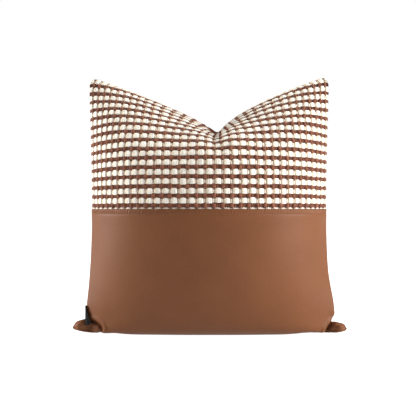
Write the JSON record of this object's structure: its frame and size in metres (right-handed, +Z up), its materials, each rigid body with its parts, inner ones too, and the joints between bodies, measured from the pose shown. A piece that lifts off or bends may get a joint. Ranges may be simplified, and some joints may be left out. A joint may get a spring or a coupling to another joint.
{
  "type": "throw pillow",
  "caption": "Square zipped cushion with a woven upper front, smooth leather lower front and plain back, standing upright with a chopped top.",
  "frame": {"origin": "on the floor below the middle of the pillow as it stands on its bottom seam", "axes": "+X to the right of someone facing the front, -Y is where the front looks, +Z up towards the chopped top edge"},
  "size_m": [0.406, 0.1921, 0.385],
  "materials": {
    "woven_fabric": "chunky plain weave, cream beads between rows of brown cord",
    "brown_leather": "smooth semi-matt brown leather with fine grain",
    "plain_back": "plain brown suede-like leather, matt",
    "brown_thread": "twisted polyester thread",
    "black_label": "black satin ribbon, blank",
    "zipper_tape": "herringbone polyester tape",
    "zipper_nylon": "nylon coil",
    "zipper_metal": "antique brass",
    "insert_cloth": "white non-woven lining",
    "polyester_fibre": "loose polyester fibre"
  },
  "bodies": {
    "pillow": {"front_woven_panel": "woven_fabric", "front_leather_panel": "brown_leather", "back_panel": "plain_back", "panel_topstitch": "brown_thread", "side_label": "black_label", "zipper_tape_front": "zipper_tape", "zipper_tape_back": "zipper_tape", "zipper_coil_front": "zipper_nylon", "zipper_coil_back": "zipper_nylon", "zipper_top_stop": "zipper_metal", "zipper_bottom_stop": "zipper_metal", "insert_front_shell": "insert_cloth", "insert_back_shell": "insert_cloth", "insert_fill": "polyester_fibre"},
    "slider": {"zipper_slider": "zipper_metal"},
    "pull_tab": {"zipper_pull_tab": "zipper_metal"}
  },
  "joints": [
    {"name": "zipper_slide", "type": "slide", "parent": "pillow", "child": "slider", "axis": [-1, 0, 0], "range_m": [0, 0.31]},
    {"name": "pull_tab_hinge", "type": "hinge", "parent": "slider", "child": "pull_tab", "pos_m": [0.157, 0, 0.0055], "axis": [0, -1, 0], "range_deg": [0, 170]}
  ]
}
